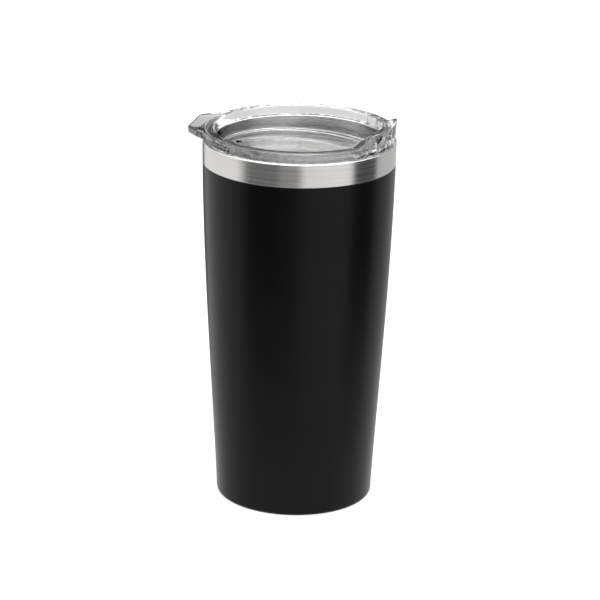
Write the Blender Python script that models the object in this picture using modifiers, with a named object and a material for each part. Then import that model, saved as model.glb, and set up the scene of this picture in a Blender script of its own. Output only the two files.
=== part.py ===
"""Insulated steel tumbler with a clear press-in lid, as separate pieces.

Metres, +Z up. The origin is the centre of the foot, where the cup stands. The lid's
spout points along +X. Its thumb tab stands opposite, a few degrees off -X towards -Y.
Run with: blender --background --python part.py
"""

import math

import bmesh
import bpy
from mathutils import Matrix, Vector

# Cup outline
CUP_HEIGHT = 0.1700
RIM_RADIUS = 0.0440
BASE_RADIUS = 0.0360
FLARE_START = 1.19
FLARE_END = 1.68
FOOT_CORNER = 0.0020
FOOT_WIDTH = 0.0032
BARE_BAND = 0.0105
EDGE_ROUND = 0.0004

# Sheet, coat and fits
SEAM = 0.0003
SHEET = 0.0008
COAT = 0.0004

# Inner cup
MOUTH_GAP = 0.0005
JACKET_GAP = 0.0023
MOUTH_DEPTH = 0.0120
SHOULDER_DEPTH = 0.0080
LINER_FLOOR = 0.0120
LINER_CORNER = 0.0060
WELD_LIP = 0.0012
WELD_TAPER = 0.0024

# Underside
COVER_RECESS = 0.0008
COVER_SKIRT = 0.0030
COVER_ROUND = 0.0016
BOTTOM_HEIGHT = 0.0060
BOTTOM_SKIRT = 0.0030
DIMPLE_RADIUS = 0.0075
DIMPLE_DEPTH = 0.0012
VACUUM_HOLE = 0.0011
BEAD_RADIUS = 0.0042
BEAD_HEIGHT = 0.0010
GETTER_RADIUS = 0.0055
GETTER_HEIGHT = 0.0022
GETTER_OFFSET = 0.0170

# Lid ring and plug
LID_INSET = 0.0007
LID_LEAN = 0.0006
FLANGE_HEIGHT = 0.0050
FLANGE_WIDTH = 0.0046
PLUG_CLEARANCE = 0.0015
PLUG_SKIRT = 0.0022
PLUG_WALL = 0.0026
PLUG_LEAD = 0.0008
BASIN_DRAFT = 0.20
FLOOR_DEPTH = 0.0062
FLOOR_SLOPE = 0.053
FLOOR_THICKNESS = 0.0020

# Lid spout, thumb tab and openings
CREST_HEIGHT = 0.0050
CREST_HALF_ANGLE = math.radians(36.0)
CREST_FLAT_ANGLE = math.radians(22.0)
TAB_TURN = math.radians(7.0)
TAB_LENGTH = 0.0064
TAB_END_WIDTH = 0.0205
TAB_END_THICKNESS = 0.0034
TAB_ROOT_THICKNESS = 0.0044
TAB_SPLAY = math.radians(40.0)
TAB_CORNER = 0.0030
TAB_BLEND = 0.0120
TAB_ROOT = 0.0020
SIP_LENGTH = 0.0200
SIP_WIDTH = 0.0068
SIP_INSET = 0.0032
VENT_RADIUS = 0.0015
VENT_INSET = 0.0070

# Lid gasket
GROOVE_LAND = 0.0007
GROOVE_HEIGHT = 0.0040
GROOVE_DEPTH = 0.0012
LIP_HEIGHT = 0.0009

# Resolution
ROUND_STEPS = 48
WALL_STATIONS = 7
BAND_STATIONS = 3
MOUTH_STATIONS = 3
SHOULDER_STATIONS = 5
CORNER_STEPS = 3
WIDE_STEPS = 6
RAMP_STEPS = 6
SMALL_STEPS = 24
OVERCUT = 0.0040
MERGE = 0.00001
SMOOTH_ANGLE = math.radians(35.0)

# Levels and radii that follow from the sizes above
BAND_BOTTOM = CUP_HEIGHT - BARE_BAND
SHELL_SET_BACK = COAT + SEAM
SHELL_DEPTH = SHELL_SET_BACK + SHEET
MOUTH_WALL = SHELL_DEPTH + MOUTH_GAP + SHEET
JACKET_WALL = SHELL_DEPTH + JACKET_GAP + SHEET
FOOT_CENTRE = BASE_RADIUS - FOOT_CORNER
LID_SEAT = CUP_HEIGHT + SEAM
FLANGE_TOP = CUP_HEIGHT + FLANGE_HEIGHT
CREST_TOP = FLANGE_TOP + CREST_HEIGHT
LID_FOOT_RADIUS = RIM_RADIUS - LID_INSET
LID_RADIUS = LID_FOOT_RADIUS + LID_LEAN * FLANGE_HEIGHT / (FLANGE_HEIGHT + CREST_HEIGHT)
MOUTH_RADIUS = RIM_RADIUS - MOUTH_WALL
PLUG_RADIUS = MOUTH_RADIUS - PLUG_CLEARANCE
FLOOR_LEVEL = CUP_HEIGHT - FLOOR_DEPTH
BASIN_RADIUS = LID_RADIUS - FLANGE_WIDTH
BASIN_FLOOR_RADIUS = BASIN_RADIUS - BASIN_DRAFT * (FLANGE_TOP - FLOOR_LEVEL)
FLOOR_UNDERSIDE = FLOOR_LEVEL - FLOOR_THICKNESS
PLUG_BOTTOM = FLOOR_UNDERSIDE - FLOOR_SLOPE * BASIN_FLOOR_RADIUS - PLUG_SKIRT
GROOVE_BOTTOM = PLUG_BOTTOM + PLUG_LEAD + GROOVE_LAND
GROOVE_TOP = GROOVE_BOTTOM + GROOVE_HEIGHT
GROOVE_RADIUS = PLUG_RADIUS - GROOVE_DEPTH


def clear_scene():
    for item in list(bpy.data.objects):
        bpy.data.objects.remove(item, do_unlink=True)


def make_collection(name):
    collection = bpy.data.collections.new(name)
    bpy.context.scene.collection.children.link(collection)
    return collection


def make_material(name, colour, roughness, metallic=0.0, transmission=0.0):
    material = bpy.data.materials.new(name)
    material.use_nodes = True
    shader = material.node_tree.nodes["Principled BSDF"]
    shader.inputs["Base Color"].default_value = (*colour, 1.0)
    shader.inputs["Roughness"].default_value = roughness
    shader.inputs["Metallic"].default_value = metallic
    shader.inputs["Transmission Weight"].default_value = transmission
    return material


def ease(fraction):
    """Smooth step from 0 to 1, level at both ends."""
    clamped = min(max(fraction, 0.0), 1.0)
    return clamped * clamped * (3.0 - 2.0 * clamped)


def spread(start, end, count):
    """Evenly spaced values from start to end, both included."""
    return [start + (end - start) * step / (count - 1) for step in range(count)]


def outer_radius(height):
    """The cup's outer face: it flares most low down and is almost upright at the rim."""
    fraction = min(max(height / CUP_HEIGHT, 0.0), 1.0)
    flare = 1.0 - (1.0 - fraction ** FLARE_START) ** FLARE_END
    return BASE_RADIUS + (RIM_RADIUS - BASE_RADIUS) * flare


def inner_radius(height):
    """The drinking side of the double wall, which steps in below the mouth."""
    below_mouth = CUP_HEIGHT - MOUTH_DEPTH - height
    step = (JACKET_WALL - MOUTH_WALL) * ease(below_mouth / SHOULDER_DEPTH)
    return outer_radius(height) - MOUTH_WALL - step


def arc(centre_radius, centre_height, radius, start, end, steps=CORNER_STEPS):
    """Points (radius, height) on an arc; angles in degrees, 0 outward and 90 up."""
    points = []
    for angle in spread(math.radians(start), math.radians(end), steps + 1):
        along = centre_radius + radius * math.cos(angle)
        points.append((along, centre_height + radius * math.sin(angle)))
    return points


def wall(radius_at, top, bottom, offset, stations=WALL_STATIONS):
    """Points down a wall that lies offset inside the curve radius_at."""
    return [(radius_at(height) - offset, height) for height in spread(top, bottom, stations)]


def link_object(name, mesh, material, collection):
    item = bpy.data.objects.new(name, mesh)
    if material:
        mesh.materials.append(material)
    collection.objects.link(item)
    return item


def as_cutter(item):
    item.hide_render = True
    item.display_type = "WIRE"
    return item


def turned(name, outline, material, collection, closed, steps=ROUND_STEPS):
    """Spin an outline of (radius, height) about Z. It runs down its outer side."""
    mesh = bpy.data.meshes.new(name)
    points = [(radius, 0.0, height) for radius, height in outline]
    edges = [(index, index + 1) for index in range(len(points) - 1)]
    if closed:
        edges.append((len(points) - 1, 0))
    mesh.from_pydata(points, edges, [])
    item = link_object(name, mesh, material, collection)
    spin = item.modifiers.new("spin", "SCREW")
    spin.axis = "Z"
    spin.steps = steps
    spin.render_steps = steps
    spin.use_merge_vertices = True
    spin.merge_threshold = MERGE
    spin.use_smooth_shade = True
    return item


def cone(name, low, high, low_radius, high_radius, collection, steps=ROUND_STEPS):
    """An upright closed cone or cylinder between two heights."""
    mesh = bpy.data.meshes.new(name)
    form = bmesh.new()
    middle = Matrix.Translation((0.0, 0.0, (low + high) / 2.0))
    bmesh.ops.create_cone(
        form, cap_ends=True, segments=steps, radius1=low_radius, radius2=high_radius,
        depth=high - low, matrix=middle,
    )
    form.to_mesh(mesh)
    form.free()
    return link_object(name, mesh, None, collection)


def tilt_end(item, level):
    """Slope one end of a cutter, the end at the given height, down towards +X."""
    for vertex in item.data.vertices:
        if abs(vertex.co.z - level) < MERGE:
            vertex.co.z -= FLOOR_SLOPE * vertex.co.x


def plate(name, outline, low, high, collection):
    """A flat closed outline of (x, y), extruded between two heights, as a mesh."""
    curve = bpy.data.curves.new(name, "CURVE")
    curve.dimensions = "2D"
    curve.fill_mode = "BOTH"
    curve.extrude = (high - low) / 2.0
    line = curve.splines.new("POLY")
    line.points.add(len(outline) - 1)
    line.use_cyclic_u = True
    for point, (x, y) in zip(line.points, outline):
        point.co = (x, y, 0.0, 1.0)
    source = bpy.data.objects.new(name + "_outline", curve)
    collection.objects.link(source)
    source.location.z = (high + low) / 2.0
    bpy.context.view_layer.update()
    evaluated = source.evaluated_get(bpy.context.evaluated_depsgraph_get())
    mesh = bpy.data.meshes.new_from_object(evaluated)
    mesh.transform(source.matrix_world)
    bpy.data.objects.remove(source, do_unlink=True)
    form = bmesh.new()
    form.from_mesh(mesh)
    bmesh.ops.remove_doubles(form, verts=form.verts, dist=MERGE)
    bmesh.ops.recalc_face_normals(form, faces=form.faces)
    form.to_mesh(mesh)
    form.free()
    return link_object(name, mesh, None, collection)


def combine(item, tool, operation):
    joint = item.modifiers.new(tool.name, "BOOLEAN")
    joint.operation = operation
    joint.object = as_cutter(tool)


def shell_set_back(height):
    """The shell's outer face is bare at the band and lies under the coat below it."""
    return outer_radius(height) - SHELL_SET_BACK


def outer_shell(collection, steel):
    """Outer steel wall: bare band at the top, rolled in at the foot."""
    outline = [(RIM_RADIUS - EDGE_ROUND, CUP_HEIGHT)]
    outline += wall(outer_radius, CUP_HEIGHT - EDGE_ROUND, BAND_BOTTOM, 0.0, BAND_STATIONS)
    outline += wall(shell_set_back, BAND_BOTTOM, FOOT_CORNER, 0.0)
    outline += arc(FOOT_CENTRE, FOOT_CORNER, FOOT_CORNER - SHELL_SET_BACK, 0.0, -90.0)[1:]
    outline.append((FOOT_CENTRE - FOOT_WIDTH, SHELL_SET_BACK))
    outline.append((FOOT_CENTRE - FOOT_WIDTH, SHELL_DEPTH))
    outline += arc(FOOT_CENTRE, FOOT_CORNER, FOOT_CORNER - SHELL_DEPTH, -90.0, 0.0)[:-1]
    outline += wall(outer_radius, FOOT_CORNER, CUP_HEIGHT, SHELL_DEPTH)
    return turned("outer_shell", outline, steel, collection, closed=True)


def powder_coat(collection, black):
    """The coat that covers the shell from below the band to under the foot."""
    outline = wall(outer_radius, BAND_BOTTOM - SEAM, FOOT_CORNER, 0.0)
    outline += arc(FOOT_CENTRE, FOOT_CORNER, FOOT_CORNER, 0.0, -90.0)[1:]
    outline.append((FOOT_CENTRE - FOOT_WIDTH, 0.0))
    outline.append((FOOT_CENTRE - FOOT_WIDTH, COAT))
    outline += arc(FOOT_CENTRE, FOOT_CORNER, FOOT_CORNER - COAT, -90.0, 0.0)[:-1]
    outline += wall(outer_radius, FOOT_CORNER, BAND_BOTTOM - SEAM, COAT)
    return turned("powder_coat", outline, black, collection, closed=True)


def inner_liner(collection, steel):
    """Inner cup: it holds the drink, and its lip is welded inside the shell's mouth."""
    corner_height = LINER_FLOOR + LINER_CORNER
    corner_centre = inner_radius(corner_height) - LINER_CORNER
    lip_radius = RIM_RADIUS - SHELL_DEPTH - SEAM
    mouth = CUP_HEIGHT - MOUTH_DEPTH
    shoulder = mouth - SHOULDER_DEPTH
    outline = [(0.0, LINER_FLOOR)]
    outline += arc(corner_centre, corner_height, LINER_CORNER, -90.0, 0.0)
    outline += wall(inner_radius, corner_height, shoulder, 0.0)[1:]
    outline += wall(inner_radius, shoulder, mouth, 0.0, SHOULDER_STATIONS)[1:]
    outline += wall(inner_radius, mouth, CUP_HEIGHT - EDGE_ROUND, 0.0, MOUTH_STATIONS)[1:]
    outline.append((MOUTH_RADIUS + EDGE_ROUND, CUP_HEIGHT))
    outline.append((lip_radius, CUP_HEIGHT))
    outline.append((lip_radius, CUP_HEIGHT - WELD_LIP))
    outline += wall(inner_radius, CUP_HEIGHT - WELD_TAPER, mouth, -SHEET, MOUTH_STATIONS)
    outline += wall(inner_radius, mouth, shoulder, -SHEET, SHOULDER_STATIONS)[1:]
    outline += wall(inner_radius, shoulder, corner_height, -SHEET)[1:]
    outline += arc(corner_centre, corner_height, LINER_CORNER + SHEET, 0.0, -90.0)[1:]
    outline.append((0.0, LINER_FLOOR - SHEET))
    return turned("inner_liner", outline, steel, collection, closed=False)


def vacuum_bottom(collection, steel):
    """Pressed plate that closes the jacket; its dimple holds the pump-down hole."""
    skirt_bottom = BOTTOM_HEIGHT - BOTTOM_SKIRT
    edge = outer_radius(skirt_bottom) - SHELL_DEPTH - SEAM
    under = BOTTOM_HEIGHT - SHEET
    outline = [
        (VACUUM_HOLE, BOTTOM_HEIGHT + DIMPLE_DEPTH),
        (DIMPLE_RADIUS - DIMPLE_DEPTH, BOTTOM_HEIGHT + DIMPLE_DEPTH),
        (DIMPLE_RADIUS, BOTTOM_HEIGHT),
    ]
    outline += arc(edge - SHEET, under, SHEET, 90.0, 0.0)
    outline.append((edge, skirt_bottom))
    outline.append((edge - SHEET, skirt_bottom))
    outline.append((edge - SHEET, under))
    outline.append((DIMPLE_RADIUS, under))
    outline.append((DIMPLE_RADIUS - DIMPLE_DEPTH, under + DIMPLE_DEPTH))
    outline.append((VACUUM_HOLE, under + DIMPLE_DEPTH))
    return turned("vacuum_bottom", outline, steel, collection, closed=True)


def seal_bead(collection, glass):
    """Glass bead melted over the pump-down hole, inside the dimple."""
    top = BOTTOM_HEIGHT - SHEET + DIMPLE_DEPTH - SEAM
    outline = [(0.0, top), (BEAD_RADIUS, top)]
    outline += arc(BEAD_RADIUS - BEAD_HEIGHT, top, BEAD_HEIGHT, 0.0, -90.0)[1:]
    outline.append((0.0, top - BEAD_HEIGHT))
    return turned("seal_bead", outline, glass, collection, closed=False, steps=SMALL_STEPS)


def getter(collection, grey):
    """Pill that absorbs stray gas, fixed under the inner cup inside the vacuum."""
    top = LINER_FLOOR - SHEET - SEAM
    low = top - GETTER_HEIGHT
    outline = [
        (0.0, top),
        (GETTER_RADIUS - EDGE_ROUND, top),
        (GETTER_RADIUS, top - EDGE_ROUND),
        (GETTER_RADIUS, low + EDGE_ROUND),
        (GETTER_RADIUS - EDGE_ROUND, low),
        (0.0, low),
    ]
    item = turned("getter", outline, grey, collection, closed=False, steps=SMALL_STEPS)
    item.location.x = GETTER_OFFSET
    return item


def bottom_cover(collection, steel):
    """Shallow dish that hides the sealed hole, set up inside the foot ring."""
    edge = FOOT_CENTRE - FOOT_WIDTH - SEAM
    top = COVER_RECESS + COVER_SKIRT
    inner_floor = COVER_RECESS + SHEET
    outline = [(0.0, inner_floor), (edge - COVER_ROUND, inner_floor)]
    outline.append((edge - SHEET, inner_floor + SHEET))
    outline.append((edge - SHEET, top))
    outline.append((edge, top))
    outline += arc(edge - SHEET, inner_floor, SHEET, 0.0, -90.0)
    outline.append((0.0, COVER_RECESS))
    return turned("bottom_cover", outline, steel, collection, closed=False)


def lid_blank(collection, clear):
    """Ring, plug and floor of the lid before its hollows are cut."""
    edge_top = LID_FOOT_RADIUS + LID_LEAN
    outline = [
        (0.0, CREST_TOP),
        (edge_top - EDGE_ROUND, CREST_TOP),
        (edge_top, CREST_TOP - EDGE_ROUND),
        (LID_FOOT_RADIUS, LID_SEAT + EDGE_ROUND),
        (LID_FOOT_RADIUS - EDGE_ROUND, LID_SEAT),
        (PLUG_RADIUS, LID_SEAT),
        (PLUG_RADIUS, GROOVE_TOP),
        (GROOVE_RADIUS, GROOVE_TOP),
        (GROOVE_RADIUS, GROOVE_BOTTOM),
        (PLUG_RADIUS, GROOVE_BOTTOM),
        (PLUG_RADIUS, PLUG_BOTTOM + PLUG_LEAD),
        (PLUG_RADIUS - PLUG_LEAD, PLUG_BOTTOM),
        (0.0, PLUG_BOTTOM),
    ]
    return turned("lid_body", outline, clear, collection, closed=False)


def crest_relief(collection):
    """Everything above the ring except the spout's crest, which rises in a smooth ramp."""
    ramp_start = LID_RADIUS * math.cos(CREST_HALF_ANGLE)
    ramp_end = LID_RADIUS * math.cos(CREST_FLAT_ANGLE)
    reach = RIM_RADIUS + TAB_LENGTH + OVERCUT
    outline = [(-reach, FLANGE_TOP)]
    for fraction in spread(0.0, 1.0, RAMP_STEPS + 1):
        height = FLANGE_TOP + CREST_HEIGHT * ease(fraction)
        outline.append((ramp_start + (ramp_end - ramp_start) * fraction, height))
    outline[-1] = (ramp_end, CREST_TOP + OVERCUT)
    outline.append((-reach, CREST_TOP + OVERCUT))
    relief = plate("crest_relief", outline, -reach, reach, collection)
    relief.data.transform(Matrix.Rotation(math.pi / 2.0, 4, "X"))
    return relief


def tab_outline():
    """Plan of the thumb tab: straight end, round corners, sides that blend into the ring."""
    reach = LID_RADIUS + TAB_LENGTH
    half_turn = math.pi / 2.0 - TAB_SPLAY
    corner_run = TAB_CORNER * math.tan(half_turn / 2.0)
    along = Vector((math.cos(TAB_SPLAY), math.sin(TAB_SPLAY)))
    outward = Vector((-along.y, along.x))
    corner = Vector((-reach, TAB_END_WIDTH / 2.0))
    corner_centre = Vector((-reach + TAB_CORNER, corner.y - corner_run))
    # The blend arc touches the side line and the ring's circle.
    offset = corner + outward * TAB_BLEND
    half_b = offset.dot(along)
    gap = offset.length_squared - (LID_RADIUS + TAB_BLEND) ** 2
    run = -half_b - math.sqrt(half_b * half_b - gap)
    blend_centre = offset + along * run
    side_angle = math.atan2(-outward.y, -outward.x)
    ring_angle = math.atan2(-blend_centre.y, -blend_centre.x)
    half = []
    for angle in spread(math.pi, math.pi - half_turn, CORNER_STEPS + 1):
        half.append(corner_centre + TAB_CORNER * Vector((math.cos(angle), math.sin(angle))))
    for angle in spread(side_angle, ring_angle, WIDE_STEPS + 1):
        half.append(blend_centre + TAB_BLEND * Vector((math.cos(angle), math.sin(angle))))
    end = half[-1]
    half.append(end * ((LID_RADIUS - TAB_ROOT) / end.length))
    upper = [(point.x, point.y) for point in half]
    lower = [(x, -y) for x, y in reversed(upper)]
    root_angle = math.pi - math.atan2(upper[-1][1], -upper[-1][0])
    root = []
    for angle in spread(root_angle, 2.0 * math.pi - root_angle, WIDE_STEPS + 1)[1:-1]:
        radius = LID_RADIUS - TAB_ROOT
        root.append((radius * math.cos(angle), radius * math.sin(angle)))
    return upper + root + lower


def thumb_tab(collection):
    """Tab plate: its underside rises from the ring to a thinner end."""
    low = FLANGE_TOP - TAB_ROOT_THICKNESS
    tab = plate("thumb_tab", tab_outline(), low, FLANGE_TOP, collection)
    for vertex in tab.data.vertices:
        beyond_ring = (math.hypot(vertex.co.x, vertex.co.y) - LID_RADIUS) / TAB_LENGTH
        if vertex.co.z < FLANGE_TOP - MERGE:
            rise = TAB_ROOT_THICKNESS - TAB_END_THICKNESS
            vertex.co.z += rise * min(max(beyond_ring, 0.0), 1.0)
    tab.data.transform(Matrix.Rotation(TAB_TURN, 4, "Z"))
    return tab


def slot_outline(centre_x, length, width):
    """A slot along Y with round ends."""
    radius = width / 2.0
    straight = length / 2.0 - radius
    outline = []
    for centre_y, start in ((straight, 0.0), (-straight, math.pi)):
        for angle in spread(start, start + math.pi, WIDE_STEPS + 1):
            x = centre_x + radius * math.cos(angle)
            outline.append((x, centre_y + radius * math.sin(angle)))
    return outline


def lid_body(collection, cutters, clear):
    """Clear lid: ring on the rim, plug in the mouth, sloping basin, spout and tab."""
    lid = lid_blank(collection, clear)
    combine(lid, crest_relief(cutters), "DIFFERENCE")
    basin_top = CREST_TOP + OVERCUT
    top_radius = BASIN_FLOOR_RADIUS + BASIN_DRAFT * (basin_top - FLOOR_LEVEL)
    basin = cone("basin", FLOOR_LEVEL, basin_top, BASIN_FLOOR_RADIUS, top_radius, cutters)
    tilt_end(basin, FLOOR_LEVEL)
    combine(lid, basin, "DIFFERENCE")
    under_radius = PLUG_RADIUS - PLUG_WALL
    under = cone(
        "underside", PLUG_BOTTOM - OVERCUT, FLOOR_UNDERSIDE, under_radius, under_radius, cutters
    )
    tilt_end(under, FLOOR_UNDERSIDE)
    combine(lid, under, "DIFFERENCE")
    combine(lid, thumb_tab(cutters), "UNION")
    low = PLUG_BOTTOM - OVERCUT
    high = FLANGE_TOP + OVERCUT
    sip_centre = BASIN_FLOOR_RADIUS - SIP_INSET - SIP_WIDTH / 2.0
    sip = plate("sip_slot", slot_outline(sip_centre, SIP_LENGTH, SIP_WIDTH), low, high, cutters)
    combine(lid, sip, "DIFFERENCE")
    vent = cone("vent_hole", low, high, VENT_RADIUS, VENT_RADIUS, cutters, SMALL_STEPS)
    vent.location.x = VENT_INSET - BASIN_FLOOR_RADIUS
    combine(lid, vent, "DIFFERENCE")
    return lid


def lid_gasket(collection, silicone):
    """Silicone ring in the plug's groove, with two lips that wipe the mouth."""
    inner = GROOVE_RADIUS + SEAM
    lip = inner_radius(GROOVE_BOTTOM) - SEAM
    root = PLUG_RADIUS + SEAM
    top = GROOVE_TOP - SEAM
    low = GROOVE_BOTTOM + SEAM
    outline = [(inner, top), (lip - SEAM, top), (lip, top - SEAM)]
    outline.append((lip, top - LIP_HEIGHT))
    outline.append((root, top - LIP_HEIGHT - SEAM))
    outline.append((root, low + LIP_HEIGHT + SEAM))
    outline.append((lip, low + LIP_HEIGHT))
    outline += [(lip, low + SEAM), (lip - SEAM, low), (inner, low)]
    return turned("lid_gasket", outline, silicone, collection, closed=True)


def main():
    clear_scene()
    tumbler = make_collection("insulated_tumbler")
    cutters = make_collection("cutters")
    steel = make_material("brushed_steel", (0.62, 0.61, 0.60), 0.30, metallic=1.0)
    black = make_material("black_powder_coat", (0.012, 0.012, 0.013), 0.48)
    pressed = make_material("pressed_steel", (0.50, 0.50, 0.50), 0.38, metallic=1.0)
    glass = make_material("solder_glass", (0.18, 0.22, 0.20), 0.15)
    grey = make_material("getter_alloy", (0.28, 0.28, 0.29), 0.60, metallic=1.0)
    clear = make_material("clear_plastic", (0.93, 0.94, 0.94), 0.04, transmission=1.0)
    silicone = make_material("clear_silicone", (0.78, 0.79, 0.80), 0.35, transmission=0.6)
    pieces = [
        outer_shell(tumbler, steel),
        powder_coat(tumbler, black),
        inner_liner(tumbler, steel),
        vacuum_bottom(tumbler, pressed),
        seal_bead(tumbler, glass),
        getter(tumbler, grey),
        bottom_cover(tumbler, pressed),
        lid_body(tumbler, cutters, clear),
        lid_gasket(tumbler, silicone),
    ]
    for piece in pieces:
        piece.data.set_sharp_from_angle(angle=SMOOTH_ANGLE)


main()
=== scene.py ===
"""Looks of the insulated tumbler: fine surfaces, materials, studio and camera.

Metres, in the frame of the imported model: +Z up, the foot at the origin, the lid's
spout along +X and its thumb tab a few degrees off -X, towards -Y.
"""

import math

import bmesh
import bpy
import numpy as np
from mathutils import Matrix, Vector


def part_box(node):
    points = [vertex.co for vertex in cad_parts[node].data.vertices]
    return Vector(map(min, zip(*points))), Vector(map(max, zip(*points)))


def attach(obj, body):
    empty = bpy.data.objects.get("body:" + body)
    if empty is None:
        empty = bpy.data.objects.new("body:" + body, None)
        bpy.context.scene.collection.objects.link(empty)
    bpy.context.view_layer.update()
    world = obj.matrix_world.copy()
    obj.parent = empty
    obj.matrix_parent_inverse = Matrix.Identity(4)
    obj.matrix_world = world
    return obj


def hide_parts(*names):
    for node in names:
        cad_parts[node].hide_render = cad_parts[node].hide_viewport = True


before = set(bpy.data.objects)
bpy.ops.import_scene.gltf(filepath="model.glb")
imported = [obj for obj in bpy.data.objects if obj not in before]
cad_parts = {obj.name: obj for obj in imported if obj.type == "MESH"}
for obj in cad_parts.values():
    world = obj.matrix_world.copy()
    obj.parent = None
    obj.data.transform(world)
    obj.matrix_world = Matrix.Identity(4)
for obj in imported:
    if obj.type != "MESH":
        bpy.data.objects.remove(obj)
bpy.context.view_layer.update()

# Sizes read from the frame
SHELL_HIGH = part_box("outer_shell")[1]
COAT_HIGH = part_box("powder_coat")[1]
LINER_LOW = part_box("inner_liner")[0]
COVER_LOW, COVER_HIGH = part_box("bottom_cover")
LID_LOW, LID_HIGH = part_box("lid_body")
GASKET_LOW, GASKET_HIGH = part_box("lid_gasket")
CUP_HEIGHT = SHELL_HIGH.z
RIM_RADIUS = SHELL_HIGH.x
CREST_TOP = LID_HIGH.z
PLUG_BOTTOM = LID_LOW.z
LINER_UNDER = LINER_LOW.z
COVER_RADIUS = COVER_HIGH.x
COVER_BOTTOM = COVER_LOW.z
COVER_TOP = COVER_HIGH.z
GASKET_RADIUS = GASKET_HIGH.x

# Cup wall
BASE_RADIUS = 0.0360
FLARE_START = 1.19
FLARE_END = 1.68
FOOT_CORNER = 0.0020
FOOT_WIDTH = 0.0032
SEAM = 0.0003
SHEET = 0.0008
COAT = 0.0004
BAND_BOTTOM = COAT_HIGH.z + SEAM
SET_BACK = COAT + SEAM
SHELL_DEPTH = SET_BACK + SHEET
FOOT_CENTRE = BASE_RADIUS - FOOT_CORNER
EDGE_ROUND = 0.00035
COAT_EDGE = 0.00018
COAT_GAP = 0.00004

# How far the curved stretches of the wall stop short of its rounded corners
FOOT_RUN = FOOT_CORNER * 2.0
RIM_RUN = 0.0012
BAND_RUN = 0.0008
BAND_STEP_RUN = 0.0005
COAT_RUN = 0.0006

# Inner cup; LINER_RUN and LINER_FLAT are shares of its corner's height and its floor
MOUTH_WALL = 0.0028
MOUTH_ROUND = 0.0009
JACKET_WALL = 0.0046
MOUTH_DEPTH = 0.0120
SHOULDER_DEPTH = 0.0080
LINER_FLOOR = LINER_UNDER + SHEET
LINER_CORNER = 0.0060
LINER_RUN = 1.15
LINER_FLAT = 0.6
WELD_LIP = 0.0012
WELD_TAPER = 0.0024

# Cover under the cup
COVER_STEP_SHARE = 0.66
COVER_STEP_RISE = 0.0005
COVER_STEP_RUN = 0.0015
COVER_STEP_ROUND = 0.0010
COVER_ROUND = 0.0009
COVER_INNER_ROUND = 0.0004

# Lid
LID_SEAT = CUP_HEIGHT + SEAM
FLANGE_HEIGHT = 0.0050
FLANGE_TOP = CUP_HEIGHT + FLANGE_HEIGHT
CREST_HEIGHT = CREST_TOP - FLANGE_TOP
LID_SET_BACK = 0.0007
LID_FOOT_RADIUS = RIM_RADIUS - LID_SET_BACK
LID_LEAN = 0.0006
LID_RADIUS = LID_FOOT_RADIUS + LID_LEAN * FLANGE_HEIGHT / (CREST_TOP - CUP_HEIGHT)
FLANGE_WIDTH = 0.0046
BASIN_DRAFT = 0.20
FLOOR_DEPTH = 0.0062
FLOOR_LEVEL = CUP_HEIGHT - FLOOR_DEPTH
FLOOR_SLOPE = 0.053
FLOOR_THICKNESS = 0.0020
BASIN_RADIUS = LID_RADIUS - FLANGE_WIDTH
BASIN_FLOOR_RADIUS = BASIN_RADIUS - BASIN_DRAFT * (FLANGE_TOP - FLOOR_LEVEL)
FLOOR_UNDERSIDE = FLOOR_LEVEL - FLOOR_THICKNESS
MOUTH_RADIUS = RIM_RADIUS - MOUTH_WALL
PLUG_CLEARANCE = 0.0015
PLUG_RADIUS = MOUTH_RADIUS - PLUG_CLEARANCE
PLUG_WALL = 0.0026
UNDER_RADIUS = PLUG_RADIUS - PLUG_WALL
GROOVE_TOP = GASKET_HIGH.z + SEAM
GROOVE_BOTTOM = GASKET_LOW.z - SEAM
GROOVE_DEPTH = 0.0012
GROOVE_RADIUS = PLUG_RADIUS - GROOVE_DEPTH
CREST_FOOT_ANGLE = math.radians(35.0)
CREST_INNER_ANGLE = math.radians(16.0)
CREST_OUTER_ANGLE = math.radians(21.0)
TAB_TURN = math.radians(7.0)
TAB_LENGTH = 0.0064
TAB_REACH = LID_RADIUS + TAB_LENGTH
TAB_END_HALF = 0.01025
TAB_END_THICKNESS = 0.0034
TAB_ROOT_THICKNESS = 0.0044
TAB_SPLAY = math.radians(40.0)
TAB_CORNER = 0.0030
TAB_BLEND = 0.0120
SIP_LENGTH = 0.0200
SIP_WIDTH = 0.0068
SIP_INSET = 0.0032
SIP_CENTRE = BASIN_FLOOR_RADIUS - SIP_INSET - SIP_WIDTH / 2.0
VENT_RADIUS = 0.0015
VENT_INSET = 0.0070
VENT_CENTRE = VENT_INSET - BASIN_FLOOR_RADIUS
HOLE_ROUND = 0.0004
HOLE_START = HOLE_ROUND * 0.02
HOLE_RUN = 0.0040
LIP_HEIGHT = 0.0009
LIP_ROUND = 0.0003

# Roundings of the lid's corners
BASIN_ROUND = 0.0010
RING_INNER_ROUND = 0.0006
RING_OUTER_ROUND = 0.0011
TAB_UNDER_ROUND = 0.0009
TAB_ROOT_ROUND = 0.0006
SEAT_ROUND = 0.0004
GROOVE_ROUND = 0.0002
PLUG_ROUND = 0.0008
UNDER_ROUND = 0.0006

# Where the lid's sections have points, as shares of the floor's radius, of the underside's
# radius and of the ring's width
FLOOR_SHARES = (0.25, 0.5, 0.75, 0.92)
UNDER_SHARES = (0.9, 0.6, 0.3)
RING_SHARES = (0.24, 0.344, 0.448, 0.552, 0.656, 0.76)

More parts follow.
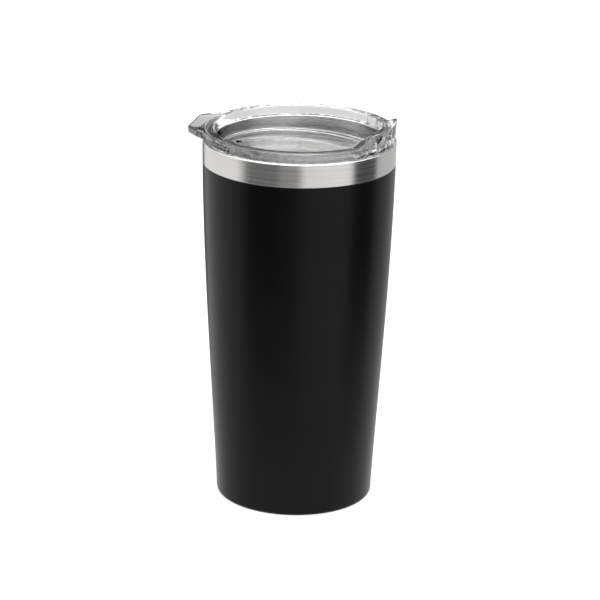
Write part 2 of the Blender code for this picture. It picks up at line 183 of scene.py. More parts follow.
# Mesh fineness
TURN_STEPS = 256
ARC_STEPS = 5
LIP_STEPS = 4
LINER_ARC_STEPS = 8
BAND_STATIONS = 6
SHELL_STATIONS = 48
COAT_STATIONS = 64
LINER_STATIONS = 40
SHOULDER_STATIONS = 14
TAB_STATIONS = 12
BLEND_STATIONS = 24
SIP_STEPS = 96
VENT_STEPS = 48
FINE_TURN = 0.5
COARSE_TURN = 1.5
FINE_NEAR_SPOUT = 45.0
FINE_NEAR_TAB = 142.0
CLOSE = 0.000002
ROUND_LIMIT = 0.48
SHARP_ANGLE = math.radians(35.0)
STRAIGHT_ANGLE = math.radians(89.5)

# The middle of a noise, which the materials stretch over their own ranges
NOISE_LOW = 0.3
NOISE_HIGH = 0.7

# Depth of each material's relief
BRUSH_DEPTH = 0.000004
PEBBLE_DEPTH = 0.000012
GRAIN_DEPTH = 0.000004
FLOW_DEPTH = 0.00012
RIPPLE_DEPTH = 0.0008
SCRATCH_DEPTH = 0.000004
DUST_DEPTH = 0.00002
SHEET_DEPTH = 0.00001
SPECK_DEPTH = 0.00002
SINTER_DEPTH = 0.00004

# The ripples in the lid's outer wall: they grow over this radius and fade before the tab
RIPPLE_START = LID_RADIUS - 0.0012
RIPPLE_FULL = LID_RADIUS - 0.0006
TAB_CLEAR = -0.0425
TAB_RIPPLED = -0.0405

# Camera, set by the view of the cup: heights in metres, angles in degrees
CAMERA_AZIMUTH = 20.0
CAMERA_DISTANCE = 1.3534
CAMERA_HEIGHT = 0.5492
CAMERA_PITCH = 18.633
CAMERA_YAW = 0.063
CAMERA_ROLL = 1.031
CAMERA_LENS = 186.0
CAMERA_SENSOR = 36.0


def ease(fraction):
    """Smooth step from 0 to 1, level at both ends."""
    clamped = min(max(fraction, 0.0), 1.0)
    return clamped * clamped * (3.0 - 2.0 * clamped)


def outer_radius(height):
    """The cup's outer face, the same curve as the CAD cup has."""
    fraction = min(max(height / CUP_HEIGHT, 0.0), 1.0)
    flare = 1.0 - (1.0 - fraction ** FLARE_START) ** FLARE_END
    return BASE_RADIUS + (RIM_RADIUS - BASE_RADIUS) * flare


def inner_radius(height):
    """The drinking side of the double wall, which steps in below the mouth."""
    below_mouth = CUP_HEIGHT - MOUTH_DEPTH - height
    step = (JACKET_WALL - MOUTH_WALL) * ease(below_mouth / SHOULDER_DEPTH)
    return outer_radius(height) - MOUTH_WALL - step


def wall(radius_at, top, bottom, inset, stations):
    """Corners down a wall that lies inset inside the curve radius_at, with no rounding."""
    heights = np.linspace(top, bottom, stations)
    return [(radius_at(float(height)) - inset, float(height), 0.0) for height in heights]


def rounded(corners, steps=ARC_STEPS, closed=False):
    """Points along corners of (x, y, round); each round corner becomes an arc of points."""
    count = len(corners)
    points = []
    for index, (x, y, radius) in enumerate(corners):
        corner = Vector((x, y))
        lit_liner_steel = closed or 0 < index < count - 1
        if radius <= 0.0 or not lit_liner_steel:
            points.append((x, y))
            continue
        before = Vector(corners[index - 1][:2]) - corner
        after = Vector(corners[(index + 1) % count][:2]) - corner
        shortest = min(before.length, after.length)
        if shortest < CLOSE:
            points += [(x, y)] * (steps + 1)
            continue
        before.normalize()
        after.normalize()
        half = before.angle(after) / 2.0
        if half > STRAIGHT_ANGLE:
            points += [(x, y)] * (steps + 1)
            continue
        reach = min(radius / math.tan(half), shortest * ROUND_LIMIT)
        radius = reach * math.tan(half)
        centre = corner + (before + after).normalized() * (radius / math.sin(half))
        start = corner + before * reach - centre
        end = corner + after * reach - centre
        for step in range(steps + 1):
            share = step / steps
            turn = start.angle(end) * share
            side = end - start * (start.dot(end) / start.length_squared)
            spoke = start * math.cos(turn) + side.normalized() * (start.length * math.sin(turn))
            points.append(tuple(centre + spoke))
    return points


def finish_mesh(name, points, faces):
    """A closed, welded mesh object with outward faces."""
    mesh = bpy.data.meshes.new(name)
    mesh.from_pydata(points, [], faces)
    form = bmesh.new()
    form.from_mesh(mesh)
    bmesh.ops.remove_doubles(form, verts=form.verts, dist=CLOSE)
    bmesh.ops.dissolve_degenerate(form, edges=form.edges, dist=CLOSE)
    bmesh.ops.recalc_face_normals(form, faces=form.faces)
    form.to_mesh(mesh)
    form.free()
    mesh.shade_smooth()
    mesh.set_sharp_from_angle(angle=SHARP_ANGLE)
    item = bpy.data.objects.new(name, mesh)
    bpy.context.scene.collection.objects.link(item)
    return item


def loft(name, sections, closed):
    """Skin a ring of sections, each a list of points; closed joins each section's ends."""
    rows = len(sections)
    columns = len(sections[0])
    points = [point for section in sections for point in section]
    faces = []
    last = columns if closed else columns - 1
    for row in range(rows):
        following = (row + 1) % rows
        for column in range(last):
            beside = (column + 1) % columns
            faces.append((
                row * columns + column, row * columns + beside,
                following * columns + beside, following * columns + column,
            ))
    return finish_mesh(name, points, faces)


def spun(outline, angle):
    """The outline, as (radius, height), stood at an angle about Z."""
    cosine, sine = math.cos(angle), math.sin(angle)
    return [(r * cosine, r * sine, z) for r, z in outline]


def turned(name, corners, closed, arc_steps=ARC_STEPS):
    """Spin an outline of (radius, height, round) about Z."""
    outline = rounded(corners, arc_steps, closed)
    sections = []
    for step in range(TURN_STEPS):
        sections.append(spun(outline, math.tau * step / TURN_STEPS))
    return loft(name, sections, closed)


def bake_modifiers(item):
    """Replace the object's mesh by what its modifiers make of it."""
    evaluated = item.evaluated_get(bpy.context.evaluated_depsgraph_get())
    mesh = bpy.data.meshes.new_from_object(evaluated)
    item.modifiers.clear()
    item.data = mesh
    mesh.set_sharp_from_angle(angle=SHARP_ANGLE)


def cut(item, tool):
    """Take the tool's shape out of the item and drop the tool."""
    step = item.modifiers.new("cut", "BOOLEAN")
    step.operation = "DIFFERENCE"
    step.object = tool
    bpy.context.view_layer.update()
    bake_modifiers(item)
    bpy.data.objects.remove(tool, do_unlink=True)


def even_normals(item):
    """Let broad faces keep flat shading beside their rounded edges."""
    step = item.modifiers.new("even_normals", "WEIGHTED_NORMAL")
    step.keep_sharp = True
    step.weight = 100


# ---------------------------------------------------------------- cup pieces

def make_shell():
    """Outer steel wall with a rolled rim and a bare band."""
    band_radius = outer_radius(BAND_BOTTOM)
    foot_inner = FOOT_CENTRE - FOOT_WIDTH
    below_rim = CUP_HEIGHT - RIM_RUN
    corners = [
        (RIM_RADIUS - SHELL_DEPTH, CUP_HEIGHT, EDGE_ROUND),
        (RIM_RADIUS, CUP_HEIGHT, EDGE_ROUND),
        *wall(outer_radius, below_rim, BAND_BOTTOM + BAND_RUN, 0.0, BAND_STATIONS),
        (band_radius, BAND_BOTTOM, COAT_EDGE),
        (band_radius - SET_BACK, BAND_BOTTOM, 0.0),
        *wall(outer_radius, BAND_BOTTOM - BAND_STEP_RUN, FOOT_RUN, SET_BACK, SHELL_STATIONS),
        (BASE_RADIUS - SET_BACK, SET_BACK, FOOT_CORNER - SET_BACK),
        (foot_inner, SET_BACK, 0.0),
        (foot_inner, SHELL_DEPTH, 0.0),
        (BASE_RADIUS - SHELL_DEPTH, SHELL_DEPTH, FOOT_CORNER - SHELL_DEPTH),
        *wall(outer_radius, FOOT_RUN, below_rim, SHELL_DEPTH, SHELL_STATIONS),
    ]
    return turned("steel_shell", corners, closed=True)


def make_coat():
    """Powder coat: it ends in a soft edge at the band and wraps under the foot."""
    top = BAND_BOTTOM - COAT_GAP
    foot_inner = FOOT_CENTRE - FOOT_WIDTH
    corners = [
        (outer_radius(top) - COAT, top, 0.0),
        (outer_radius(top), top, COAT_EDGE),
        *wall(outer_radius, top - COAT_RUN, FOOT_RUN, 0.0, COAT_STATIONS),
        (BASE_RADIUS, 0.0, FOOT_CORNER),
        (foot_inner, 0.0, COAT_EDGE),
        (foot_inner, COAT, 0.0),
        (BASE_RADIUS - COAT, COAT, FOOT_CORNER - COAT),
        *wall(outer_radius, FOOT_RUN, top - COAT_RUN, COAT, COAT_STATIONS),
    ]
    return turned("black_coat", corners, closed=True)


def make_liner():
    """Inner cup with a wide floor corner, a shoulder and a thin welded lip."""
    corner_height = LINER_FLOOR + LINER_CORNER
    wall_bottom = corner_height * LINER_RUN
    mouth_bottom = CUP_HEIGHT - MOUTH_DEPTH
    shoulder_bottom = mouth_bottom - SHOULDER_DEPTH
    floor_edge = inner_radius(corner_height)
    lip_radius = RIM_RADIUS - SHELL_DEPTH - SEAM
    rim_bottom = CUP_HEIGHT - RIM_RUN
    weld_bottom = CUP_HEIGHT - WELD_TAPER
    corners = [
        (0.0, LINER_FLOOR, 0.0),
        (floor_edge * LINER_FLAT, LINER_FLOOR, 0.0),
        (floor_edge, LINER_FLOOR, LINER_CORNER),
        *wall(inner_radius, wall_bottom, shoulder_bottom, 0.0, LINER_STATIONS),
        *wall(inner_radius, shoulder_bottom, mouth_bottom, 0.0, SHOULDER_STATIONS)[1:],
        *wall(inner_radius, mouth_bottom, rim_bottom, 0.0, BAND_STATIONS)[1:],
        (MOUTH_RADIUS, CUP_HEIGHT, MOUTH_ROUND),
        (lip_radius, CUP_HEIGHT, EDGE_ROUND * 0.5),
        (lip_radius, CUP_HEIGHT - WELD_LIP, 0.0),
        *wall(inner_radius, weld_bottom, mouth_bottom, -SHEET, BAND_STATIONS),
        *wall(inner_radius, mouth_bottom, shoulder_bottom, -SHEET, SHOULDER_STATIONS)[1:],
        *wall(inner_radius, shoulder_bottom, wall_bottom, -SHEET, LINER_STATIONS)[1:],
        (floor_edge + SHEET, LINER_UNDER, LINER_CORNER + SHEET),
        (0.0, LINER_UNDER, 0.0),
    ]
    return turned("steel_liner", corners, closed=False, arc_steps=LINER_ARC_STEPS)


def make_cover():
    """Dished cover under the cup, with one pressed step."""
    inner_floor = COVER_BOTTOM + SHEET
    lit_liner_steel = COVER_RADIUS - SHEET
    step_radius = COVER_RADIUS * COVER_STEP_SHARE
    raised_radius = step_radius - COVER_STEP_RUN
    corners = [
        (0.0, COVER_BOTTOM + COVER_STEP_RISE, 0.0),
        (raised_radius, COVER_BOTTOM + COVER_STEP_RISE, COVER_STEP_ROUND),
        (step_radius, COVER_BOTTOM, COVER_STEP_ROUND),
        (COVER_RADIUS, COVER_BOTTOM, COVER_ROUND),
        (COVER_RADIUS, COVER_TOP, 0.0),
        (lit_liner_steel, COVER_TOP, 0.0),
        (lit_liner_steel, inner_floor, COVER_INNER_ROUND),
        (step_radius, inner_floor, COVER_STEP_ROUND),
        (raised_radius, inner_floor + COVER_STEP_RISE, COVER_STEP_ROUND),
        (0.0, inner_floor + COVER_STEP_RISE, 0.0),
    ]
    return turned("base_cover", corners, closed=False)


def make_gasket():
    """Silicone ring in the plug's groove, with two soft lips."""
    inner = GROOVE_RADIUS + SEAM
    root = PLUG_RADIUS + SEAM
    top, low = GASKET_HIGH.z, GASKET_LOW.z
    corners = [
        (inner, top, LIP_ROUND),
        (GASKET_RADIUS, top, LIP_ROUND),
        (GASKET_RADIUS, top - LIP_HEIGHT, LIP_ROUND),
        (root, top - LIP_HEIGHT - SEAM, LIP_ROUND),
        (root, low + LIP_HEIGHT + SEAM, LIP_ROUND),
        (GASKET_RADIUS, low + LIP_HEIGHT, LIP_ROUND),
        (GASKET_RADIUS, low, LIP_ROUND),
        (inner, low, LIP_ROUND),
    ]
    return turned("silicone_gasket", corners, closed=True, arc_steps=LIP_STEPS)


# ---------------------------------------------------------------- lid

def top_height(angle, across):
    """Height of the ring's top face: level, then the spout's crest at angles near 0.

    across runs from 0 at the ring's inner edge to 1 at its outer edge, where the crest
    stays full for longer.
    """
    full = CREST_INNER_ANGLE + (CREST_OUTER_ANGLE - CREST_INNER_ANGLE) * across
    climb = (CREST_FOOT_ANGLE - abs(angle)) / (CREST_FOOT_ANGLE - full)
    return FLANGE_TOP + CREST_HEIGHT * ease(climb)


def ring_radius(height):
    """The ring's outer wall, which leans out a little with height."""
    return LID_FOOT_RADIUS + LID_LEAN * (height - CUP_HEIGHT) / (CREST_TOP - CUP_HEIGHT)


def tab_profile():
    """The thumb tab's plan as (angle from -X, radius), from its middle to where it ends."""
    half_turn = math.pi / 2.0 - TAB_SPLAY
    corner_run = TAB_CORNER * math.tan(half_turn / 2.0)
    along = Vector((math.cos(TAB_SPLAY), math.sin(TAB_SPLAY)))
    outward = Vector((-along.y, along.x))
    corner = Vector((-TAB_REACH, TAB_END_HALF))
    corner_centre = Vector((TAB_CORNER - TAB_REACH, corner.y - corner_run))
    offset = corner + outward * TAB_BLEND
    half_b = offset.dot(along)
    gap = offset.length_squared - (LID_RADIUS + TAB_BLEND) ** 2
    blend_centre = offset + along * (-half_b - math.sqrt(half_b * half_b - gap))
    side_angle = math.atan2(-outward.y, -outward.x)
    ring_angle = math.atan2(-blend_centre.y, -blend_centre.x)
    points = [Vector((-TAB_REACH, y)) for y in np.linspace(0.0, corner_centre.y, TAB_STATIONS)]
    for angle in np.linspace(math.pi, math.pi - half_turn, TAB_STATIONS)[1:]:
        points.append(corner_centre + TAB_CORNER * Vector((math.cos(angle), math.sin(angle))))
    side_end = blend_centre + TAB_BLEND * Vector((math.cos(side_angle), math.sin(side_angle)))
    side_start = points[-1]
    shares = np.linspace(0.0, 1.0, TAB_STATIONS)[1:]
    points += [side_start.lerp(side_end, share) for share in shares]
    for angle in np.linspace(side_angle, ring_angle, BLEND_STATIONS)[1:]:
        points.append(blend_centre + TAB_BLEND * Vector((math.cos(angle), math.sin(angle))))
    angles = [math.atan2(point.y, -point.x) for point in points]
    return angles, [point.length for point in points]


def lid_angles():
    """Angles of the lid's sections, closer together at the spout and the tab."""
    angles = []
    degree = -180.0
    while degree < 180.0:
        angles.append(math.radians(degree))
        near_spout = abs(degree) < FINE_NEAR_SPOUT
        near_tab = abs(degree) > FINE_NEAR_TAB
        degree += FINE_TURN if near_spout or near_tab else COARSE_TURN
    return angles


def lid_section(angle, tab_angles, tab_radii):
    """The lid's outline at one angle, as (radius, height, round), from axis to axis."""
    cosine = math.cos(angle)
    from_tab = math.pi - abs(math.remainder(angle - TAB_TURN, math.tau))
    stretch = float(np.interp(from_tab, tab_angles, tab_radii, right=LID_RADIUS)) - LID_RADIUS
    stretch = max(stretch, 0.0)

    def floor_at(radius, level=FLOOR_LEVEL):
        return level - FLOOR_SLOPE * radius * cosine

    def tab_under(outward):
        share = min(outward / TAB_LENGTH, 1.0)
        thickness = TAB_ROOT_THICKNESS + (TAB_END_THICKNESS - TAB_ROOT_THICKNESS) * share
        return FLANGE_TOP - thickness

    inner_top = top_height(angle, 0.0)
    outer_top = top_height(angle, 1.0)
    inner = BASIN_RADIUS + BASIN_DRAFT * (inner_top - FLANGE_TOP)
    outer = ring_radius(outer_top)
    under_end, under_root = tab_under(stretch), tab_under(0.0)
    corners = [(0.0, FLOOR_LEVEL, 0.0)]
    for share in FLOOR_SHARES:
        corners.append((BASIN_FLOOR_RADIUS * share, floor_at(BASIN_FLOOR_RADIUS * share), 0.0))
    corners.append((BASIN_FLOOR_RADIUS, floor_at(BASIN_FLOOR_RADIUS), BASIN_ROUND))
    corners.append((inner, inner_top, RING_INNER_ROUND))
    for across in RING_SHARES:
        corners.append((inner + (outer - inner) * across, top_height(angle, across), 0.0))
    corners += [
        (outer + stretch, outer_top, RING_OUTER_ROUND),
        (ring_radius(under_end) + stretch, under_end, TAB_UNDER_ROUND),
        (ring_radius(under_root), under_root, TAB_ROOT_ROUND),
        (LID_FOOT_RADIUS, LID_SEAT, SEAT_ROUND),
        (PLUG_RADIUS, LID_SEAT, SEAT_ROUND),
        (PLUG_RADIUS, GROOVE_TOP, GROOVE_ROUND),
        (GROOVE_RADIUS, GROOVE_TOP, GROOVE_ROUND),
        (GROOVE_RADIUS, GROOVE_BOTTOM, GROOVE_ROUND),
        (PLUG_RADIUS, GROOVE_BOTTOM, GROOVE_ROUND),
        (PLUG_RADIUS, PLUG_BOTTOM, PLUG_ROUND),
        (UNDER_RADIUS, PLUG_BOTTOM, UNDER_ROUND),
        (UNDER_RADIUS, floor_at(UNDER_RADIUS, FLOOR_UNDERSIDE), BASIN_ROUND),
    ]
    for share in UNDER_SHARES:
        radius = UNDER_RADIUS * share
        corners.append((radius, floor_at(radius, FLOOR_UNDERSIDE), 0.0))
    corners.append((0.0, FLOOR_UNDERSIDE, 0.0))
    return corners


def slot_point(turn, radius, straight):
    """A point of a slot's outline, the slot being along Y; straight is half its sides."""
    x, y = radius * math.cos(turn), radius * math.sin(turn)
    return x, y + math.copysign(straight, y)


def floor_cutter(name, centre_x, radius, straight, steps):
    """A hole through the lid's floor with softly rounded lips on both faces."""
    quarter = np.linspace(0.0, math.pi / 2.0, LIP_STEPS + 1)
    upper = [(HOLE_ROUND * (1.0 - math.sin(turn)), -HOLE_ROUND * (1.0 - math.cos(turn)))
             for turn in quarter]
    lower = [(grow, -FLOOR_THICKNESS - rise) for grow, rise in reversed(upper)]
    rings = [
        (HOLE_ROUND, HOLE_RUN),
        (HOLE_ROUND, HOLE_START),
        *upper,
        *lower,
        (HOLE_ROUND, -FLOOR_THICKNESS - HOLE_START),
        (HOLE_ROUND, -FLOOR_THICKNESS - HOLE_RUN),
    ]
    centre_level = FLOOR_LEVEL - FLOOR_SLOPE * centre_x
    sections = []
    for step in range(steps):
        turn = math.tau * (step + 0.5) / steps
        section = [(centre_x, 0.0, centre_level + HOLE_RUN)]
        for grow, rise in rings:
            x, y = slot_point(turn, radius + grow, straight)
            x += centre_x
            section.append((x, y, FLOOR_LEVEL - FLOOR_SLOPE * x + rise))
        section.append((centre_x, 0.0, centre_level - FLOOR_THICKNESS - HOLE_RUN))
        sections.append(section)
    return loft(name, sections, closed=False)


def make_lid():
    """Clear lid as one smooth skin, with the sip slot and the vent cut through its floor."""
    tab_angles, tab_radii = tab_profile()
    sections = []
    for angle in lid_angles():
        outline = rounded(lid_section(angle, tab_angles, tab_radii))
        sections.append(spun(outline, angle))
    lid = loft("clear_lid", sections, closed=False)
    straight = SIP_LENGTH / 2.0 - SIP_WIDTH / 2.0
    cut(lid, floor_cutter("sip_cutter", SIP_CENTRE, SIP_WIDTH / 2.0, straight, SIP_STEPS))
    cut(lid, floor_cutter("vent_cutter", VENT_CENTRE, VENT_RADIUS, 0.0, VENT_STEPS))
    return lid


# ---------------------------------------------------------------- materials

class Paint:
    """A material under construction: short calls to add and link shader nodes."""

    def __init__(self, name):
        self.material = bpy.data.materials.new(name)
        self.material.use_nodes = True
        self.tree = self.material.node_tree
        self.shader = self.tree.nodes["Principled BSDF"]
        self.place = self.add("ShaderNodeTexCoord").outputs["Object"]

    def add(self, kind, **settings):
        node = self.tree.nodes.new(kind)
        for key, value in settings.items():
            setattr(node, key, value)
        return node

    def link(self, source, target):
        self.tree.links.new(source, target)

    def set(self, **values):
        for key, value in values.items():
            self.shader.inputs[key.replace("_", " ")].default_value = value

    def noise(self, scale, detail=2.0, stretch=(1.0, 1.0, 1.0), roughness=0.5):
        """Noise in metres: scale is features per metre, stretch multiplies each axis."""
        mapping = self.add("ShaderNodeMapping")
        mapping.inputs["Scale"].default_value = stretch
        self.link(self.place, mapping.inputs["Vector"])
        texture = self.add("ShaderNodeTexNoise")
        texture.inputs["Scale"].default_value = scale
        texture.inputs["Detail"].default_value = detail
        texture.inputs["Roughness"].default_value = roughness
        self.link(mapping.outputs["Vector"], texture.inputs["Vector"])
        return texture.outputs["Fac"]

    def spread(self, source, low, high, start=NOISE_LOW, end=NOISE_HIGH):
        """Stretch a value from start...end to low...high."""
        node = self.add("ShaderNodeMapRange")
        node.inputs["From Min"].default_value = start
        node.inputs["From Max"].default_value = end
        node.inputs["To Min"].default_value = low
        node.inputs["To Max"].default_value = high
        self.link(source, node.inputs["Value"])
        return node.outputs["Result"]

    def colour(self, source, dark, light):
        """Base colour that runs from dark to light with a noise."""
        ramp = self.add("ShaderNodeValToRGB")
        for stop, place, shade in zip(ramp.color_ramp.elements, (NOISE_LOW, NOISE_HIGH),
                                      (dark, light)):
            stop.position = place
            stop.color = (*shade, 1.0)
        self.link(source, ramp.inputs["Fac"])
        self.link(ramp.outputs["Color"], self.shader.inputs["Base Color"])

    def rough(self, source, low, high):
        """Roughness that runs from low to high with a noise."""
        self.link(self.spread(source, low, high), self.shader.inputs["Roughness"])

    def times(self, first, second):
        node = self.add("ShaderNodeMath", operation="MULTIPLY")
        self.link(first, node.inputs[0])
        self.link(second, node.inputs[1])
        return node.outputs["Value"]

    def bump(self, source, height, strength=1.0, after=None):
        node = self.add("ShaderNodeBump")
        node.inputs["Strength"].default_value = strength
        node.inputs["Distance"].default_value = height
        self.link(source, node.inputs["Height"])
        if after:
            self.link(after, node.inputs["Normal"])
        self.link(node.outputs["Normal"], self.shader.inputs["Normal"])
        return node.outputs["Normal"]


def brushed_steel(name, light, dark, rough_low, rough_high, anisotropy):
    """Steel brushed round the cup: fine lines that run with the circumference."""
    paint = Paint(name)
    paint.set(Metallic=1.0, Anisotropic=anisotropy, Anisotropic_Rotation=0.25)
    lines = paint.noise(1.0, detail=3.0, stretch=(40.0, 40.0, 5200.0), roughness=0.6)
    broad = paint.noise(1.0, detail=2.0, stretch=(25.0, 25.0, 900.0))
    paint.colour(lines, dark, light)
    paint.rough(broad, rough_low, rough_high)
    paint.bump(lines, BRUSH_DEPTH, 0.35)
    tangent = paint.add("ShaderNodeTangent", direction_type="RADIAL", axis="Z")
    paint.link(tangent.outputs["Tangent"], paint.shader.inputs["Tangent"])
    return paint.material


def powder_black():
    """Satin powder coat: a shallow pebble of about a millimetre under a finer grain."""
    paint = Paint("powder_black")
    paint.set(Specular_IOR_Level=0.15, IOR=1.5)
    pebble = paint.noise(1400.0, detail=2.0)
    grain = paint.noise(5200.0, detail=1.0)
    cloud = paint.noise(35.0, detail=3.0)
    paint.colour(cloud, (0.0010, 0.0010, 0.0011), (0.0018, 0.0018, 0.0019))
    paint.rough(grain, 0.25, 0.31)
    first = paint.bump(pebble, PEBBLE_DEPTH, 0.5)
    paint.bump(grain, GRAIN_DEPTH, 0.4, first)
    return paint.material


def ripple_place(paint):
    """1 on the lid's outer wall and 0 on its inside faces and its thumb tab."""
    across = paint.add("ShaderNodeVectorMath", operation="MULTIPLY")
    across.inputs[1].default_value = (1.0, 1.0, 0.0)
    paint.link(paint.place, across.inputs[0])
    radius = paint.add("ShaderNodeVectorMath", operation="LENGTH")
    paint.link(across.outputs["Vector"], radius.inputs[0])
    split = paint.add("ShaderNodeSeparateXYZ")
    paint.link(paint.place, split.inputs["Vector"])
    on_wall = paint.spread(radius.outputs["Value"], 0.0, 1.0, RIPPLE_START, RIPPLE_FULL)
    off_tab = paint.spread(split.outputs["X"], 0.0, 1.0, TAB_CLEAR, TAB_RIPPLED)
    return paint.times(on_wall, off_tab)


def clear_plastic():
    """Water-clear moulded plastic with faint flow ripples and hairline wear."""
    paint = Paint("clear_plastic")
    paint.set(Transmission_Weight=1.0, IOR=1.57)
    flow = paint.noise(70.0, detail=2.0)
    haze = paint.noise(300.0, detail=4.0, roughness=0.7)
    scratch = paint.noise(1.0, detail=2.0, stretch=(220.0, 4200.0, 220.0))
    ripple = paint.noise(250.0, detail=2.0)
    paint.colour(haze, (0.955, 0.955, 0.957), (0.985, 0.985, 0.986))
    paint.rough(haze, 0.004, 0.030)
    first = paint.bump(flow, FLOW_DEPTH, 0.30)
    second = paint.bump(paint.times(ripple, ripple_place(paint)), RIPPLE_DEPTH, 1.0, first)
    paint.bump(scratch, SCRATCH_DEPTH, 0.25, second)
    return paint.material


def milky_silicone():
    """Translucent silicone, a little dusty on the surface."""
    paint = Paint("milky_silicone")
    paint.set(Transmission_Weight=0.96, IOR=1.41)
    dust = paint.noise(700.0, detail=4.0, roughness=0.65)
    paint.colour(dust, (0.88, 0.89, 0.90), (0.95, 0.95, 0.96))
    paint.rough(dust, 0.08, 0.18)
    paint.bump(dust, DUST_DEPTH, 0.3)
    return paint.material


def pressed_steel():
    """Plain pressed sheet: dull, with a fine mottled grain and soft stains."""
    paint = Paint("pressed_sheet")
    paint.set(Metallic=1.0)
    grain = paint.noise(2600.0, detail=4.0, roughness=0.7)
    stain = paint.noise(90.0, detail=3.0)
    paint.colour(stain, (0.40, 0.40, 0.40), (0.56, 0.56, 0.55))
    paint.rough(grain, 0.30, 0.48)
    paint.bump(grain, SHEET_DEPTH, 0.4)
    return paint.material


def solder_glass():
    """Frit glass bead: glossy, grey-green and full of tiny specks."""
    paint = Paint("solder_glass")
    speck = paint.noise(3800.0, detail=3.0, roughness=0.8)
    paint.colour(speck, (0.10, 0.13, 0.12), (0.26, 0.31, 0.28))
    paint.rough(speck, 0.08, 0.25)
    paint.bump(speck, SPECK_DEPTH, 0.4)
    return paint.material


def getter_alloy():
    """Sintered metal pill with an open, matt grain."""
    paint = Paint("getter_alloy")
    paint.set(Metallic=0.8)
    grain = paint.noise(4200.0, detail=5.0, roughness=0.75)
    paint.colour(grain, (0.16, 0.16, 0.17), (0.38, 0.38, 0.39))
    paint.rough(grain, 0.50, 0.75)
    paint.bump(grain, SINTER_DEPTH, 0.6)
    return paint.material


def dress(item, material):
    item.data.materials.clear()
    item.data.materials.append(material)


# ---------------------------------------------------------------- studio

# The studio round the cup as (angle from the camera's side, brightness): angles in
# degrees, to the camera's right when positive.
STUDIO = (
    (-180.0, 0.10), (-158.0, 0.10), (-150.0, 1.00), (-78.0, 1.05), (-64.0, 0.13),
    (-26.0, 0.12), (-22.0, 0.26), (-1.0, 0.28), (7.0, 0.92), (64.0, 1.05),
    (71.0, 0.06), (103.0, 0.06), (107.0, 0.62), (160.0, 0.66), (180.0, 0.30),
)

# The ceiling: as the upward part of the direction, and its brightness
CEILING_START = 0.48
CEILING_FULL = 0.70
CEILING_LEVEL = 3.3

# What the clear lid shows behind it: grey below the horizon, and a share of it above
THROUGH_LEVEL = 0.74
THROUGH_ABOVE = 0.1
HORIZON_BLEND = 0.02

# Floor and the glow on it, round the foot
FLOOR_SIZE = 12.0
FLOOR_DROP = 0.00002
FLOOR_GLOW = 0.80
REFLECTOR_SIZE = 1.2
REFLECTOR_DROP = 0.00001
GLOW_LEVEL = 0.95
GLOW_START = 0.07
GLOW_END = 0.32


def studio_world():
    """Soft light all round, in broad upright panels, brighter overhead."""
    world = bpy.data.worlds.new("studio")
    bpy.context.scene.world = world
    world.use_nodes = True
    tree = world.node_tree
    tree.nodes.clear()
    view = math.radians(CAMERA_AZIMUTH)
    towards = (math.sin(view), -math.cos(view), 0.0)
    right = (math.cos(view), math.sin(view), 0.0)
    upwards = (0.0, 0.0, 1.0)
    place = tree.nodes.new("ShaderNodeTexCoord").outputs["Generated"]
    path = tree.nodes.new("ShaderNodeLightPath")

    def along(axis):
        node = tree.nodes.new("ShaderNodeVectorMath")
        node.operation = "DOT_PRODUCT"
        node.inputs[1].default_value = axis
        tree.links.new(place, node.inputs[0])
        return node.outputs["Value"]

    def maths(operation, first, second):
        node = tree.nodes.new("ShaderNodeMath")
        node.operation = operation
        for socket, value in zip(node.inputs, (first, second)):
            if isinstance(value, float):
                socket.default_value = value
            else:
                tree.links.new(value, socket)
        return node.outputs["Value"]

    def spread(source, low, high, start, end):
        node = tree.nodes.new("ShaderNodeMapRange")
        for name, value in zip(("To Min", "To Max", "From Min", "From Max"),
                               (low, high, start, end)):
            node.inputs[name].default_value = value
        tree.links.new(source, node.inputs["Value"])
        return node.outputs["Result"]

    def blend(share, colour, level):
        node = tree.nodes.new("ShaderNodeMix")
        node.data_type = "RGBA"
        node.inputs["B"].default_value = (level, level, level, 1.0)
        tree.links.new(share, node.inputs["Factor"])
        tree.links.new(colour, node.inputs["A"])
        return node.outputs["Result"]

    turn = maths("ARCTAN2", along(right), along(towards))
    share = maths("ADD", maths("MULTIPLY", turn, 1.0 / math.tau), 0.5)
    ramp = tree.nodes.new("ShaderNodeValToRGB")
    stops = ramp.color_ramp.elements
    while len(stops) < len(STUDIO):
        stops.new(0.5)
    for stop, (angle, level) in zip(stops, STUDIO):
        stop.position = angle / 360.0 + 0.5
        stop.color = (level, level, level, 1.0)
    tree.links.new(share, ramp.inputs["Fac"])
    rise = spread(along(upwards), 0.0, 1.0, CEILING_START, CEILING_FULL)
    overhead = blend(rise, ramp.outputs["Color"], CEILING_LEVEL)
    below = spread(along(upwards), 1.0, THROUGH_ABOVE, -HORIZON_BLEND, HORIZON_BLEND)
    seen_through = maths("MULTIPLY", below, path.outputs["Is Transmission Ray"])
    panels = tree.nodes.new("ShaderNodeBackground")
    tree.links.new(blend(seen_through, overhead, THROUGH_LEVEL), panels.inputs["Color"])
    paper = tree.nodes.new("ShaderNodeBackground")
    paper.inputs["Color"].default_value = (1.0, 1.0, 1.0, 1.0)
    mix = tree.nodes.new("ShaderNodeMixShader")
    tree.links.new(path.outputs["Is Camera Ray"], mix.inputs["Fac"])
    tree.links.new(panels.outputs["Background"], mix.inputs[1])
    tree.links.new(paper.outputs["Background"], mix.inputs[2])
    output = tree.nodes.new("ShaderNodeOutputWorld")
    tree.links.new(mix.outputs["Shader"], output.inputs["Surface"])


def flat_square(name, size, height):
    """A level square round the foot of the cup."""
    mesh = bpy.data.meshes.new(name)
    half = size / 2.0
    corners = [(-half, -half, 0.0), (half, -half, 0.0), (half, half, 0.0), (-half, half, 0.0)]
    mesh.from_pydata(corners, [], [(0, 1, 2, 3)])
    square = bpy.data.objects.new(name, mesh)
    bpy.context.scene.collection.objects.link(square)
    square.location.z = height
    return square


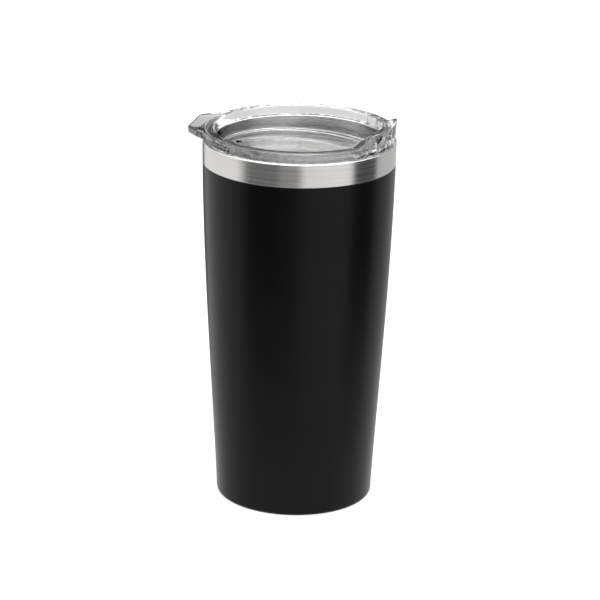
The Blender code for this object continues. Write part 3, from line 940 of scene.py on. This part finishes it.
def make_reflector():
    """A glow on the floor round the foot, seen only in the cup's own reflections."""
    glow = flat_square("reflector", REFLECTOR_SIZE, -REFLECTOR_DROP)
    paint = Paint("reflector_glow")
    distance = paint.add("ShaderNodeVectorMath", operation="LENGTH")
    paint.link(paint.place, distance.inputs[0])
    fade = paint.spread(distance.outputs["Value"], 1.0, 0.0, GLOW_START, GLOW_END)
    paint.set(Base_Color=(0.0, 0.0, 0.0, 1.0), Specular_IOR_Level=0.0, Roughness=1.0)
    paint.set(Emission_Color=(1.0, 1.0, 1.0, 1.0), Emission_Strength=GLOW_LEVEL)
    paint.link(fade, paint.shader.inputs["Alpha"])
    dress(glow, paint.material)
    glow.visible_camera = False
    glow.visible_diffuse = False
    glow.visible_transmission = False
    glow.visible_shadow = False


def make_floor():
    """Plain pale floor, left out of the cup's reflections and of what the lid shows."""
    floor = flat_square("floor", FLOOR_SIZE, -FLOOR_DROP)
    paint = Paint("pale_floor")
    paint.set(Roughness=0.9)
    mottle = paint.noise(3.0, detail=2.0)
    paint.colour(mottle, (0.20, 0.20, 0.20), (0.22, 0.22, 0.22))
    paint.set(Emission_Color=(1.0, 1.0, 1.0, 1.0), Emission_Strength=FLOOR_GLOW)
    dress(floor, paint.material)
    floor.visible_glossy = False
    floor.visible_transmission = False


def make_camera():
    """A long lens that looks down on the lid, rolled by a degree."""
    pitch = math.radians(CAMERA_PITCH)
    yaw = math.radians(CAMERA_YAW)
    roll = math.radians(CAMERA_ROLL)
    look = Vector((
        math.sin(yaw) * math.cos(pitch), math.cos(yaw) * math.cos(pitch), -math.sin(pitch),
    ))
    level = Vector((math.cos(yaw), -math.sin(yaw), 0.0))
    upright = level.cross(look)
    right = math.cos(roll) * level + math.sin(roll) * upright
    up = math.cos(roll) * upright - math.sin(roll) * level
    stand = Matrix((
        (right.x, up.x, -look.x, 0.0),
        (right.y, up.y, -look.y, -CAMERA_DISTANCE),
        (right.z, up.z, -look.z, CAMERA_HEIGHT),
        (0.0, 0.0, 0.0, 1.0),
    ))
    data = bpy.data.cameras.new("camera")
    data.lens = CAMERA_LENS
    data.sensor_width = CAMERA_SENSOR
    camera = bpy.data.objects.new("camera", data)
    bpy.context.scene.collection.objects.link(camera)
    camera.matrix_world = Matrix.Rotation(math.radians(CAMERA_AZIMUTH), 4, "Z") @ stand
    bpy.context.scene.camera = camera


# ---------------------------------------------------------------- scene

def main():
    band = brushed_steel(
        "band_steel", light=(0.70, 0.69, 0.68), dark=(0.58, 0.57, 0.56),
        rough_low=0.20, rough_high=0.30, anisotropy=0.85,
    )
    # The liner's colour is lifted well above real steel: painted light that brightens the
    # shaded inside of the cup seen through the lid.
    lit_liner_steel = brushed_steel(
        "liner_steel", light=(0.97, 0.97, 0.96), dark=(0.88, 0.87, 0.86),
        rough_low=0.25, rough_high=0.31, anisotropy=0.98,
    )
    sheet = pressed_steel()
    pieces = (
        (make_shell(), band, "cup", "outer_shell", "bare_steel"),
        (make_coat(), powder_black(), "cup", "powder_coat", "black_coat"),
        (make_liner(), lit_liner_steel, "cup", "inner_liner", "liner_steel"),
        (make_cover(), sheet, "cup", "bottom_cover", "pressed_steel"),
        (make_lid(), clear_plastic(), "lid", "lid_body", "clear_plastic"),
        (make_gasket(), milky_silicone(), "gasket", "lid_gasket", "clear_silicone"),
    )
    for item, material, body, node, slot in pieces:
        dress(item, material)
        even_normals(item)
        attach(item, body)
        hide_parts(node)
    carried_over = (
        ("vacuum_bottom", sheet, "pressed_steel"),
        ("seal_bead", solder_glass(), "solder_glass"),
        ("getter", getter_alloy(), "getter_alloy"),
    )
    for node, material, slot in carried_over:
        dress(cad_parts[node], material)
    studio_world()
    make_floor()
    make_reflector()
    make_camera()
    bpy.context.scene.view_settings.view_transform = "Standard"


main()
